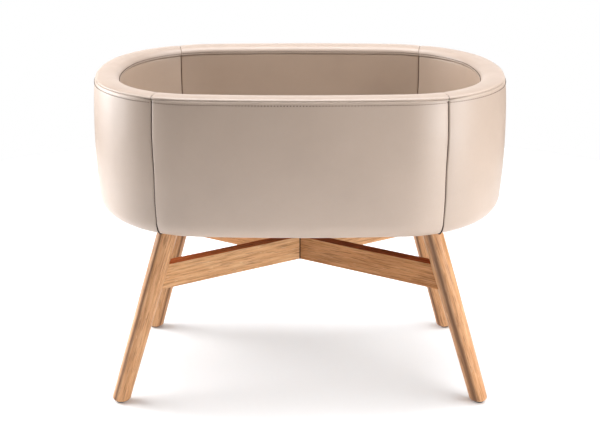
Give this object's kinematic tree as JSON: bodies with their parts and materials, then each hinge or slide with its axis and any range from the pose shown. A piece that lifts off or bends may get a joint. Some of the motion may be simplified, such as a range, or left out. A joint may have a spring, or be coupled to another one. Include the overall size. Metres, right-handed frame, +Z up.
{
  "type": "baby crib",
  "caption": "Oval leather-upholstered baby crib with a padded wall and a lift-out mattress, on a splayed wooden stand with crossed rails.",
  "frame": {"origin": "on the floor, below the middle of the oval tub", "axes": "+X along the oval's length to the right, +Y towards the back, +Z up; the long side at -Y is the front"},
  "size_m": [0.9, 0.6, 0.718],
  "materials": {
    "leather": "satin, fine grain",
    "lining_leather": "satin, fine grain",
    "oak": "oiled, open grain",
    "plywood": "unfinished",
    "foam": "open-cell foam",
    "dust_cloth": "matt non-woven",
    "mattress_fabric": "matt woven cotton",
    "zinc_steel": "zinc plated",
    "glide_plastic": "matt"
  },
  "bodies": {
    "crib": {"base_batten": "plywood", "base_board": "plywood", "batten_floor_screws": "zinc_steel", "batten_side_screws": "zinc_steel", "cross_rail_over": "oak", "cross_rail_under": "oak", "dust_cover": "dust_cloth", "floor_liner": "lining_leather", "foot_glides": "glide_plastic", "inner_foam_back": "foam", "inner_foam_front": "foam", "inner_foam_left": "foam", "inner_foam_right": "foam", "leg_back_left": "oak", "leg_back_right": "oak", "leg_bolts": "zinc_steel", "leg_front_left": "oak", "leg_front_right": "oak", "leg_plate_screws": "zinc_steel", "leg_plates": "zinc_steel", "lining_back": "lining_leather", "lining_front": "lining_leather", "lining_left": "lining_leather", "lining_right": "lining_leather", "outer_foam_back": "foam", "outer_foam_front": "foam", "outer_foam_left": "foam", "outer_foam_right": "foam", "outer_panel_back": "leather", "outer_panel_front": "leather", "outer_panel_left": "leather", "outer_panel_right": "leather", "rim_band_back": "leather", "rim_band_front": "leather", "rim_band_left": "leather", "rim_band_right": "leather", "rim_foam": "foam", "underside_staples": "zinc_steel", "wall_hoop": "plywood"},
    "mattress": {"mattress_core": "foam", "mattress_cover": "mattress_fabric"}
  },
  "joints": [
    {"name": "mattress_lift", "type": "slide", "parent": "crib", "child": "mattress", "axis": [0, 0, 1], "range_m": [0, 0.3]}
  ]
}
